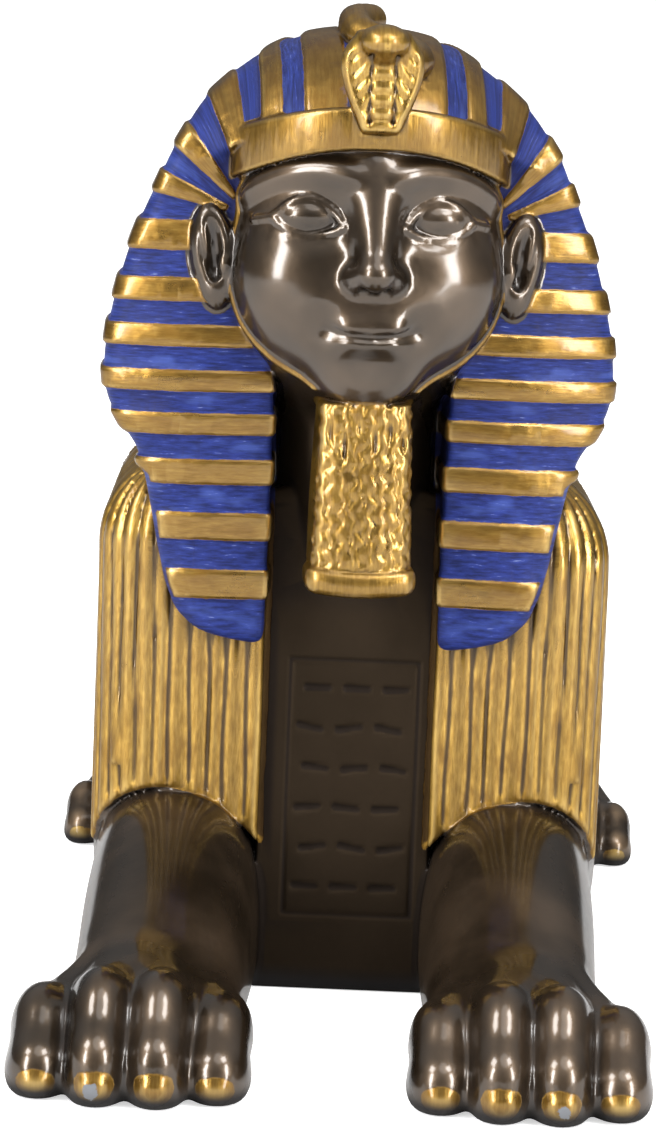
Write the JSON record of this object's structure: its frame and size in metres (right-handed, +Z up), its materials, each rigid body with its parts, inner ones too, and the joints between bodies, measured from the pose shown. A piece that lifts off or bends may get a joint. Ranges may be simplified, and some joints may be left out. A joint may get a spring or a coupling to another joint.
{
  "type": "sphinx statue",
  "caption": "Recumbent sphinx statue cast in one piece in bronze-look resin, with striped headcloth and pleated mantle.",
  "frame": {"origin": "on the ground, at the middle of the figure's length and width", "axes": "+Z up, the sphinx looks along -Y, +X to its left; X = 0 is its mirror plane but for the tail and the cobra's coil"},
  "size_m": [0.1134, 0.26, 0.1698],
  "materials": {
    "bronze_resin": "bronze-powder resin, polished dark brown, with hand-painted gold and ultramarine blue"
  },
  "bodies": {
    "root": {"sphinx": "bronze_resin"}
  },
  "joints": []
}
